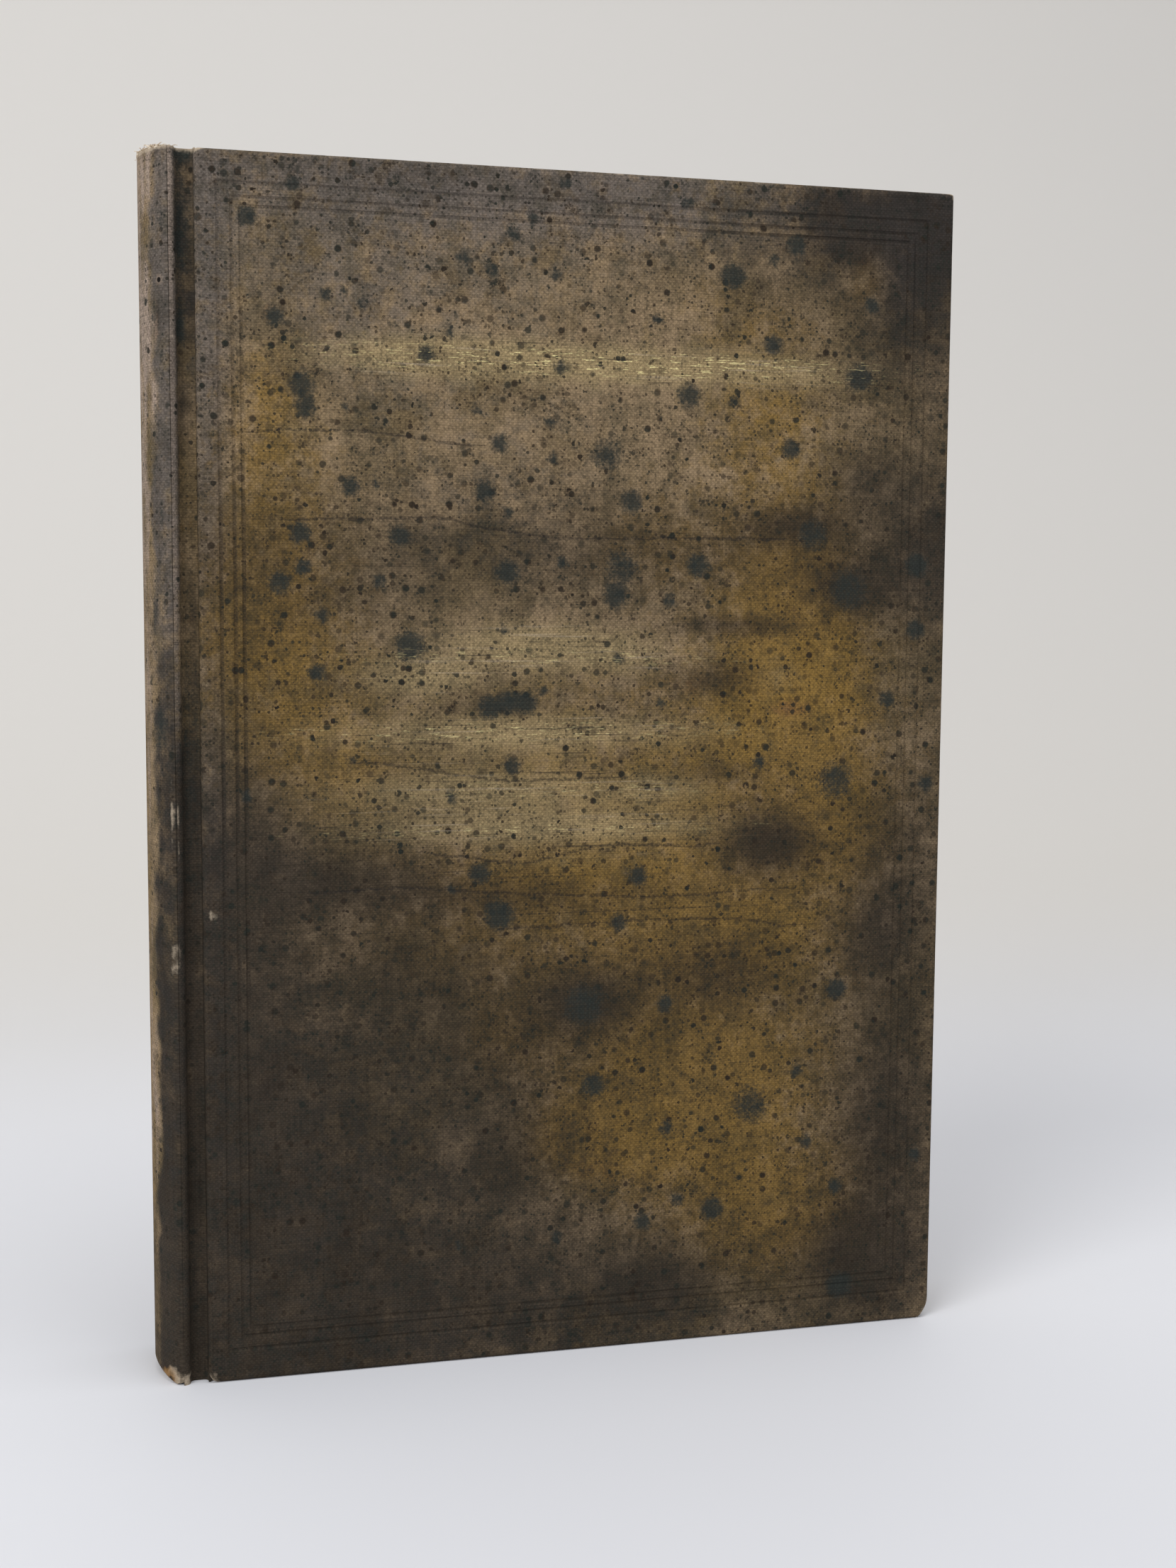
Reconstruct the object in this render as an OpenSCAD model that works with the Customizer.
// A cloth case-bound hardback book, standing on its tail with the front cover towards -Y.
// X runs from the spine to the fore edge, Y from the front cover to the back, Z from tail to head.
// The origin is the middle of the book's footprint, on the surface that it stands on.

/* [Covers] */
// Height of both covers, from tail to head
cover_h = 235; // [200:1:270]
// Width of a cover, from its joint edge to its fore edge
cover_w = 151.5; // [120:0.5:180]
// Thickness of the board inside a cover
board_t = 2.4; // [2:0.1:3.2]
// Thickness of the book cloth
cloth_t = 0.4; // [0.3:0.02:0.44]
// Width of the cloth turned in over the head, tail and fore edge of a board
turn_in = 15; // [10:0.5:20]
// Rounding of the cloth over a board's outer edges
edge_r = 0.9; // [0.6:0.05:1.1]
// Rounding of a cover's corners, seen from the front
corner_r = 1.2; // [0.6:0.1:2]
// Depth of the folded mitre line at a turned-in corner
mitre_cut = 0.15; // [0.1:0.01:0.2]

/* [Wear] */
// How far the bump at the front cover's lower fore corner eats in along the tail
bump_w = 2.5; // [1:0.1:4]
// How far the same bump reaches up the fore edge
bump_h = 4.5; // [2:0.1:7]
// Rounding of the crushed tail corner beside the front joint
crush_r = 2.6; // [1.5:0.1:4]
// Height worn off the spine cloth at the tail of the front ridge
ridge_wear = 1.6; // [0.5:0.1:3]
// How far the wear at the tail of the spine's crown eats in
crown_wear_w = 1.6; // [0.8:0.1:2]
// How far the same wear reaches up the crown
crown_wear_h = 2.6; // [1.5:0.1:4]

/* [Blind border] */
// Distance of the border's outer line from the head edge
border_head = 6; // [4:0.1:12]
// Distance of the border's outer line from the tail edge
border_tail = 6.4; // [4:0.1:12]
// Distance of the border's outer line from the joint edge
border_joint = 4.2; // [3:0.1:12]
// Distance of the border's outer line from the fore edge
border_fore = 5.5; // [4:0.1:12]
// Spacing from the outer line to the middle line
line_pitch_a = 2.6; // [1.6:0.1:4]
// Spacing from the middle line to the inner line
line_pitch_b = 1.65; // [1.2:0.05:4]
// Width of one pressed line
line_w = 0.9; // [0.5:0.05:1.1]
// Depth of one pressed line
line_d = 0.2; // [0.1:0.01:0.25]

/* [Pages] */
// Thickness of the block of pages
pages_t = 15.5; // [10:0.5:30]
// How far the covers stand out past the pages
square_w = 3; // [2:0.25:5]
// Depth of the hollow along the pages' fore edge
fore_hollow = 3; // [1.5:0.25:4]
// Number of folded sections in the block of pages
sections = 14; // [8:1:20]
// Depth of the line between two sections on the page edges
section_cut = 0.15; // [0.1:0.01:0.2]

/* [Endpapers] */
// Thickness of the endpapers
endpaper_t = 0.2; // [0.15:0.01:0.25]
// Clearance between a closed cover and the free endpaper
cover_gap = 0.15; // [0.1:0.01:0.25]

/* [Spine] */
// How far the spine stands out past the boards' joint edge
spine_reach = 9.8; // [9:0.1:11]
// How far the spine's crown stands out past the ridges' centre lines
crown_rise = 5.1; // [4.8:0.05:5.4]
// Outer radius of the cloth round a ridge
ridge_r = 1.3; // [1.2:0.02:1.4]
// How far a ridge lies below the cover's outer face
ridge_drop = 0.2; // [0:0.05:0.5]
// Angle below the ridge's widest point at which the spine cloth hands over to the joint cloth
ridge_turn = 45; // [35:1:48]
// Radius of the pages' folded shoulder under a ridge
shoulder_r = 0.5; // [0.4:0.02:0.55]
// Radius of the hollow at the foot of the shoulder
foot_r = 1; // [0.8:0.05:1.2]
// Thickness of the card inlay glued in the spine cloth
inlay_t = 0.3; // [0.2:0.02:0.4]
// Width that the card inlay covers across the spine
inlay_w = 17; // [12:0.5:17.5]
// Room in the hollow at the crown of the spine
hollow_room = 0.6; // [0.4:0.05:0.8]
// Thickness of the paper lining on the spine of the pages
lining_t = 0.2; // [0.1:0.01:0.25]
// Width that the paper lining covers across the spine
lining_w = 17; // [12:0.5:18]
// Thickness of the open-weave mull glued over the spine of the pages
mull_t = 0.2; // [0.1:0.01:0.24]
// How far the mull reaches on to each board
mull_reach = 25; // [15:0.5:35]
// Distance of the mull's ends from the turned-in cloth
mull_inset = 1; // [0.5:0.1:5]
// Running clearance between layers that aren't glued
layer_gap = 0.1; // [0.05:0.01:0.15]

/* [Head and tail bands] */
// Radius of the bead on a head band or tail band
band_r = 0.8; // [0.6:0.05:1]
// Length of a band across the spine
band_w = 15; // [12:0.5:16]
// How far a band's bead sits in from the spine of the pages
band_inset = 0.3; // [0.2:0.05:0.5]

/* [Joint] */
// Gap between the spine cloth on the ridge and the joint cloth of a cover
joint_gap = 0.3; // [0.25:0.01:0.4]
// Radius at the bottom of the joint groove, against the board
groove_r = 0.8; // [0.5:0.05:1]
// Distance of the pastedown's edge from the ridge's centre line
hinge_room = 1.9; // [1.7:0.05:2.2]

/* [Hidden] */
$fn = 48;
over = 1;
far = 60;

// Layers of a cover, counted outwards from the book's middle plane
pages_y = pages_t / 2;
leaf_y = pages_y + endpaper_t;
paste_y = leaf_y + cover_gap;
turn_y = paste_y + endpaper_t;
board_y = turn_y + cloth_t;
face_y = board_y + board_t;
half_t = face_y + cloth_t;

// The ridges: their centre lines are also the hinge lines of the covers
ridge_set = spine_reach - crown_rise;
ridge_y = half_t - ridge_drop - ridge_r;
middle_x = (cover_w - spine_reach) / 2;

// The joint cloth ends short of the cloth on the ridge, and of the shoulder below it
strip_end_r = cloth_t / 2;
strip_swing = ridge_r + joint_gap + strip_end_r;
strip_below = ridge_y - board_y - strip_end_r;
strip_beside = sqrt(max(strip_swing * strip_swing - strip_below * strip_below, 0));
strip_x = max(strip_beside - strip_end_r, shoulder_r + joint_gap) - ridge_set;

// Layers of the spine, counted inwards from its crown
inlay_reach = spine_reach - cloth_t;
return_reach = inlay_reach - inlay_t;
lining_reach = return_reach - cloth_t - hollow_room;
mull_reach_out = lining_reach - lining_t;
pages_reach = mull_reach_out - mull_t;

// Centre and radius of the round that runs from a crown to both ridges, for a crown that
// stands out by reach and a ridge of radius r
function round_x(reach, r) =
    (ridge_set * ridge_set + ridge_y * ridge_y - (reach - r) * (reach - r))
    / (2 * (reach - r - ridge_set));
function round_r(reach, r) = round_x(reach, r) + reach;

cloth_x = round_x(spine_reach, ridge_r);
cloth_r = round_r(spine_reach, ridge_r);
pages_x = round_x(pages_reach, shoulder_r);
pages_r = round_r(pages_reach, shoulder_r);
ridge_angle = atan2(ridge_y, cloth_x + ridge_set);
shoulder_angle = atan2(ridge_y, pages_x + ridge_set);

// The pages, between the squares of the covers
pages_z0 = square_w;
pages_z1 = cover_h - square_w;
pages_w = cover_w - square_w;
fore_r = (pages_y * pages_y + fore_hollow * fore_hollow) / (2 * fore_hollow);

// The blind border's three lines, as distances from the outer one
border_lines = [0, line_pitch_a, line_pitch_a + line_pitch_b];
line_r = (line_w * line_w / 4 + line_d * line_d) / (2 * line_d);

// Everything is drawn with the boards' joint edge at X = 0 and then set over the middle
module placed() {
    translate([-middle_x, 0, 0]) children();
}

// The front cover's own half of the book, turned over for the back
module half(side) {
    if (side == "front") mirror([0, 1, 0]) children();
    if (side == "back") children();
}

// A square corner at the origin taken off by a quarter round, for cutting
module corner_cut(r) {
    difference() {
        translate([-over, -over]) square([r + over, r + over]);
        translate([r, r]) circle(r);
    }
}

// A flat oblong from x0 to x1 and y0 to y1 with its corners rounded by r_low at the
// bottom and r_high at the top; r_first and r_last scale the rounds at x0 and x1
module oblong(x0, x1, y0, y1, r_low, r_high, first = true, last = true) {
    difference() {
        translate([x0, y0]) square([x1 - x0, y1 - y0]);
        if (first) translate([x0, y0]) corner_cut(r_low);
        if (first) translate([x0, y1]) mirror([0, 1]) corner_cut(r_high);
        if (last) translate([x1, y0]) mirror([1, 0]) corner_cut(r_low);
        if (last) translate([x1, y1]) mirror([1, 0]) mirror([0, 1]) corner_cut(r_high);
    }
}

// A square corner at the origin knocked or rubbed blunt: what lies outside a shallow round
// that crosses one edge at w and the other at h
module blunted(w, h, inset = 0) {
    chord = sqrt(w * w + h * h);
    r = 2 * chord;
    lift = sqrt(r * r - chord * chord / 4);
    cx = w / 2 + lift * h / chord;
    cy = h / 2 + lift * w / chord;
    difference() {
        translate([-cx, -over]) square([cx + over, cy + over]);
        translate([-cx, cy]) circle(r - inset, $fn = 96);
    }
}

// Outline of a cover seen from outside, drawn in by inset on every edge
module cover_outline(inset, side) {
    tail_r = side == "front" ? crush_r : corner_r;
    difference() {
        translate([inset, inset]) square([cover_w - 2 * inset, cover_h - 2 * inset]);
        translate([inset, inset]) corner_cut(tail_r);
        translate([inset, cover_h - inset]) mirror([0, 1]) corner_cut(corner_r);
        translate([cover_w - inset, cover_h - inset])
            mirror([1, 0]) mirror([0, 1]) corner_cut(corner_r);
        translate([cover_w - inset, inset]) mirror([1, 0]) corner_cut(corner_r);
        if (side == "front") translate([cover_w, 0]) blunted(bump_w, bump_h, inset);
    }
}

// A slab with the cover's outline, rounded over its outer edges: the meeting of its plan,
// its end view and its front view
module cover_slab(inset, y0, y1, r, side) {
    intersection() {
        linear_extrude(cover_h) oblong(inset, cover_w - inset, y0, y1, 0.1, r);
        rotate([90, 0, 90])
            linear_extrude(cover_w) oblong(y0, y1, inset, cover_h - inset, r, r, first = false);
        translate([0, y1 + over, 0])
            rotate([90, 0, 0]) linear_extrude(y1 - y0 + 2 * over) cover_outline(inset, side);
    }
}

// The board: pressed card, square at its inner face
module board(side) {
    color("tan") placed() half(side)
        cover_slab(cloth_t, board_y, face_y, edge_r - cloth_t, side);
}

// One pressed line of the border, as the groove that it leaves
module border_line(at) {
    x0 = border_joint + at;
    x1 = cover_w - border_fore - at;
    z0 = border_tail + at;
    z1 = cover_h - border_head - at;
    lift = half_t + line_r - line_d;
    for (x = [x0, x1]) {
        translate([x, lift, z0]) cylinder(h = z1 - z0, r = line_r);
        for (z = [z0, z1]) translate([x, lift, z]) sphere(line_r);
    }
    for (z = [z0, z1]) translate([x0, lift, z]) rotate([0, 90, 0]) cylinder(h = x1 - x0, r = line_r);
}

// The space inside the turned-in margins, from the board's inner face inwards
module turn_in_window() {
    translate([-ridge_set - over, turn_y - over, turn_in])
        cube([
            cover_w + ridge_set + over - turn_in,
            board_y - turn_y + over,
            cover_h - 2 * turn_in
        ]);
}

// The lines where the turned-in cloth is folded over itself at the two fore corners; they
// run out into the space inside the margins
module mitre_lines() {
    reach = turn_in * sqrt(2) + over;
    for (z = [0, cover_h])
        translate([cover_w, turn_y, z])
            rotate([0, z == 0 ? 45 : -45, 0])
                translate([-reach, -mitre_cut, -mitre_cut])
                    cube([reach, 2 * mitre_cut, 2 * mitre_cut]);
}

// Plan of the cloth that crosses the joint, with the round at the foot of the board's edge
module joint_strip() {
    translate([strip_x + strip_end_r, board_y])
        square([cloth_t - strip_x - strip_end_r, cloth_t]);
    translate([strip_x + strip_end_r, board_y + strip_end_r]) circle(strip_end_r);
    difference() {
        translate([-groove_r, board_y]) square([groove_r + cloth_t, cloth_t + groove_r]);
        translate([-groove_r, board_y + cloth_t + groove_r]) circle(groove_r);
        translate([cloth_t, board_y + cloth_t]) square([over, groove_r + over]);
    }
}

// The cloth of a cover: over the outside, round the edges, turned in, and across the joint
module cover_cloth(side) {
    difference() {
        union() {
            cover_slab(0, turn_y, half_t, edge_r, side);
            linear_extrude(cover_h) joint_strip();
            for (z = [0, cover_h - turn_in])
                translate([strip_x + cloth_t, turn_y, z])
                    cube([edge_r - strip_x, board_y - turn_y, turn_in]);
        }
        cover_slab(cloth_t, board_y, face_y, edge_r - cloth_t, side);
        turn_in_window();
        mitre_lines();
        if (side == "front") for (at = border_lines) border_line(at);
        if (side == "front") crushed_corner();
    }
}

// What is worn away at the tail of the front joint
module crushed_corner() {
    translate([strip_x, half_t + over, 0])
        rotate([90, 0, 0]) linear_extrude(board_t + 3 * over) corner_cut(-strip_x / 2);
}

module coloured_cover_cloth(side) {
    color([0.36, 0.32, 0.25]) placed() half(side) cover_cloth(side);
}

// The mull's flange, glued to the board's inner face
module mull_flange(side) {
    x0 = strip_x + cloth_t;
    z0 = turn_in + mull_inset;
    color("linen") placed() half(side)
        translate([x0, board_y - mull_t, z0]) cube([mull_reach - x0, mull_t, cover_h - 2 * z0]);
}

// The pastedown follows what it is glued to: over the turned-in cloth, down on to the mull,
// and down on to the bare board
module pastedown(side) {
    x0 = -ridge_set + hinge_room;
    z0 = turn_in + mull_inset;
    wall = board_y - turn_y;
    color("cornsilk") placed() half(side)
        difference() {
            union() {
                translate([x0, paste_y, square_w])
                    cube([pages_w - x0, endpaper_t, cover_h - 2 * square_w]);
                translate([x0, turn_y, turn_in])
                    cube([cover_w - turn_in - x0, wall, cover_h - 2 * turn_in]);
            }
            translate([x0 - over, board_y - mull_t, z0])
                cube([mull_reach - x0 + over, mull_t + over, cover_h - 2 * z0]);
            translate([mull_reach + endpaper_t, paste_y - over, turn_in + endpaper_t])
                cube([
                    cover_w - turn_in - mull_reach - 2 * endpaper_t,
                    wall + over,
                    cover_h - 2 * (turn_in + endpaper_t)
                ]);
            translate([x0 - over, paste_y - over, z0])
                cube([mull_reach - x0 + over, wall - mull_t + over, cover_h - 2 * z0]);
        }
}

// The filled plan of a spine layer: the round between the ridges and the ridges themselves
module spine_plan(reach, r) {
    cx = round_x(reach, r);
    a = atan2(ridge_y, cx + ridge_set);
    intersection() {
        translate([cx, 0]) circle(round_r(reach, r), $fn = 180);
        polygon([[cx, 0], [cx - far * cos(a), far * sin(a)], [cx - far * cos(a), -far * sin(a)]]);
        translate([-ridge_set - far, -far]) square([far, 2 * far]);
    }
    for (s = [-1, 1]) translate([-ridge_set, s * ridge_y]) circle(r);
}

// The part of a spine layer over one ridge, from the crown's round to turn degrees past
// the ridge's widest point; it laps the round by a hair, so that the two become one
module ridge_sector(a, turn) {
    lap = 0.05;
    polygon([
        [0, 0],
        far * [-cos(a - lap), sin(a - lap)],
        far * [0, 1],
        far * [cos(20), sin(20)],
        far * [cos(turn), -sin(turn)]
    ]);
}

// Plan of the spine cloth: an even band round the crown and over both ridges
module spine_cloth_plan() {
    intersection() {
        difference() {
            translate([cloth_x, 0]) circle(cloth_r, $fn = 180);
            translate([cloth_x, 0]) circle(cloth_r - cloth_t, $fn = 180);
        }
        polygon([
            [cloth_x, 0],
            [cloth_x - far * cos(ridge_angle), far * sin(ridge_angle)],
            [cloth_x - far * cos(ridge_angle), -far * sin(ridge_angle)]
        ]);
    }
    for (s = [0, 1])
        mirror([0, s])
            translate([-ridge_set, ridge_y])
                intersection() {
                    difference() {
                        circle(ridge_r);
                        circle(ridge_r - cloth_t);
                    }
                    ridge_sector(ridge_angle, ridge_turn);
                }
}

// Plan of a band inside the spine cloth, between two reaches, as wide as w across the
// spine, and clear of the lining on the pages
module inner_band(outer, inner, w) {
    intersection() {
        difference() {
            translate([cloth_x, 0]) circle(cloth_x + outer, $fn = 180);
            translate([cloth_x, 0]) circle(cloth_x + inner, $fn = 180);
            translate([pages_x, 0])
                circle(pages_x + lining_reach + layer_gap, $fn = 180);
        }
        translate([-spine_reach, -w / 2]) square([spine_reach, w]);
    }
}

// What is rubbed off the tail end of the front ridge
module worn_ridge_end() {
    translate([-ridge_set - ridge_r - over, -ridge_y - ridge_r, 0])
        rotate([90, 0, 90]) linear_extrude(2 * (ridge_r + over)) corner_cut(ridge_wear);
}

// What is rubbed off the tail end of the crown, along a round wider than the crown's own,
// so that the wear fades out towards the ridges
module worn_crown_end() {
    wide = 1.6 * cloth_r;
    translate([wide - spine_reach, 0, 0])
        rotate([0, 0, 90])
            rotate_extrude(angle = 180, $fn = 180)
                translate([wide, 0]) blunted(crown_wear_w, crown_wear_h);
}

// The cloth over the spine, turned in at head and tail over the card inlay
module spine_cloth() {
    color([0.42, 0.38, 0.32]) placed()
        difference() {
            union() {
                linear_extrude(cover_h) spine_cloth_plan();
                for (z = [0, cover_h - turn_in])
                    translate([0, 0, z])
                        linear_extrude(turn_in) inner_band(return_reach, return_reach - cloth_t, inlay_w);
                for (z = [0, cover_h - cloth_t])
                    translate([0, 0, z])
                        linear_extrude(cloth_t) inner_band(inlay_reach, return_reach - cloth_t, inlay_w);
            }
            worn_ridge_end();
            worn_crown_end();
        }
}

// The thin card that stiffens the spine cloth, rubbed down with it at the tail
module spine_inlay() {
    color("peru") placed()
        difference() {
            translate([0, 0, cloth_t])
                linear_extrude(cover_h - 2 * cloth_t)
                    inner_band(inlay_reach, return_reach, inlay_w);
            worn_crown_end();
        }
}

// A glued layer on the spine of the pages, between two reaches
module glued_layer(outer, inner, ridge_outer, ridge_inner, w) {
    intersection() {
        difference() {
            spine_plan(outer, ridge_outer);
            spine_plan(inner, ridge_inner);
        }
        translate([-spine_reach, -w / 2]) square([spine_reach - ridge_set, w]);
    }
}

module spine_lining() {
    color("burlywood") placed()
        translate([0, 0, pages_z0])
            linear_extrude(pages_z1 - pages_z0)
                glued_layer(
                    lining_reach, mull_reach_out,
                    shoulder_r + mull_t + lining_t, shoulder_r + mull_t, lining_w
                );
}

module spine_mull() {
    z0 = turn_in + mull_inset;
    color("linen") placed()
        translate([0, 0, z0])
            linear_extrude(cover_h - 2 * z0) {
                intersection() {
                    translate([pages_x, 0])
                        difference() {
                            circle(pages_r + mull_t, $fn = 180);
                            circle(pages_r, $fn = 180);
                        }
                    polygon([
                        [pages_x, 0],
                        [pages_x - far * cos(shoulder_angle), far * sin(shoulder_angle)],
                        [pages_x - far * cos(shoulder_angle), -far * sin(shoulder_angle)]
                    ]);
                }
                for (s = [0, 1])
                    mirror([0, s])
                        translate([-ridge_set, ridge_y])
                            intersection() {
                                difference() {
                                    circle(shoulder_r + mull_t);
                                    circle(shoulder_r);
                                }
                                ridge_sector(shoulder_angle, 0);
                            }
            }
}

// Plan of the pages: a rounded and backed spine, shoulders, flat sides, a hollow fore edge
module pages_plan() {
    foot_x = -ridge_set + shoulder_r + foot_r;
    spine_plan(pages_reach, shoulder_r);
    difference() {
        union() {
            translate([-ridge_set - shoulder_r, -pages_y]) square([pages_w + ridge_set + shoulder_r, pages_t]);
            translate([-ridge_set, -ridge_y]) square([shoulder_r + foot_r, 2 * ridge_y]);
        }
        for (s = [0, 1])
            mirror([0, s]) {
                translate([foot_x, pages_y + foot_r]) circle(foot_r);
                translate([foot_x - foot_r, pages_y + foot_r]) square([foot_r + over, far]);
            }
        translate([-ridge_set - shoulder_r - over, -far / 2]) square([over + shoulder_r, far]);
        translate([pages_w - fore_hollow + fore_r, 0]) circle(fore_r, $fn = 120);
        section_notches(pages_w - fore_hollow);
    }
}

// V lines between the sections, where the hollow fore edge is cut by radial wedges
module section_notches(x) {
    for (i = [1 : sections - 1]) {
        y = -pages_y + i * pages_t / sections;
        dip = fore_r - sqrt(fore_r * fore_r - y * y);
        translate([x + dip, y])
            polygon([[-section_cut, 0], [section_cut, -section_cut], [section_cut, section_cut]]);
    }
}

// The same lines across the head and tail of the pages, as wedges along X
module end_notches() {
    for (i = [1 : sections - 1])
        for (z = [pages_z0, pages_z1])
            translate([-ridge_set, -pages_y + i * pages_t / sections, z])
                rotate([45, 0, 0])
                    translate([0, -section_cut / 2, -section_cut / 2])
                        cube([cover_w, section_cut, section_cut]);
}

module text_block() {
    color("wheat") placed()
        difference() {
            translate([0, 0, pages_z0]) linear_extrude(pages_z1 - pages_z0) pages_plan();
            end_notches();
        }
}

// A free endpaper: flat against the pages, its fold rising up the foot of the shoulder
module free_endpaper(side) {
    foot_x = -ridge_set + shoulder_r + foot_r;
    color("cornsilk") placed() half(side)
        translate([0, 0, pages_z0])
            linear_extrude(pages_z1 - pages_z0) {
                translate([foot_x, pages_y]) square([pages_w - foot_x, endpaper_t]);
                intersection() {
                    difference() {
                        translate([foot_x, pages_y + foot_r]) circle(foot_r);
                        translate([foot_x, pages_y + foot_r]) circle(foot_r - endpaper_t);
                    }
                    translate([foot_x - foot_r, pages_y]) square([foot_r, foot_r]);
                }
            }
}

// A worked band: a bead laid round the back of the pages, flat where it sits on them
module worked_band(z, up) {
    a = asin(band_w / 2 / (pages_r - band_inset));
    color("indianred") placed()
        translate([pages_x, 0, z])
            rotate([0, 0, 180 - a])
                mirror([0, 0, up ? 0 : 1])
                    rotate_extrude(angle = 2 * a, $fn = 180)
                        translate([pages_r - band_inset - band_r, 0])
                            intersection() {
                                translate([0, band_r / 2]) circle(band_r, $fn = 24);
                                translate([-band_r, 0]) square([2 * band_r, 2 * band_r]);
                            }
}

module head_band() { worked_band(pages_z1, true); }
module tail_band() { worked_band(pages_z0, false); }
module front_free_endpaper() { free_endpaper("front"); }
module back_free_endpaper() { free_endpaper("back"); }
module front_board() { board("front"); }
module back_board() { board("back"); }
module front_cloth() { coloured_cover_cloth("front"); }
module back_cloth() { coloured_cover_cloth("back"); }
module front_mull_flange() { mull_flange("front"); }
module back_mull_flange() { mull_flange("back"); }
module front_pastedown() { pastedown("front"); }
module back_pastedown() { pastedown("back"); }

text_block();
front_free_endpaper();
back_free_endpaper();
spine_mull();
spine_lining();
head_band();
tail_band();
spine_inlay();
spine_cloth();
front_board();
front_cloth();
front_mull_flange();
front_pastedown();
back_board();
back_cloth();
back_mull_flange();
back_pastedown();
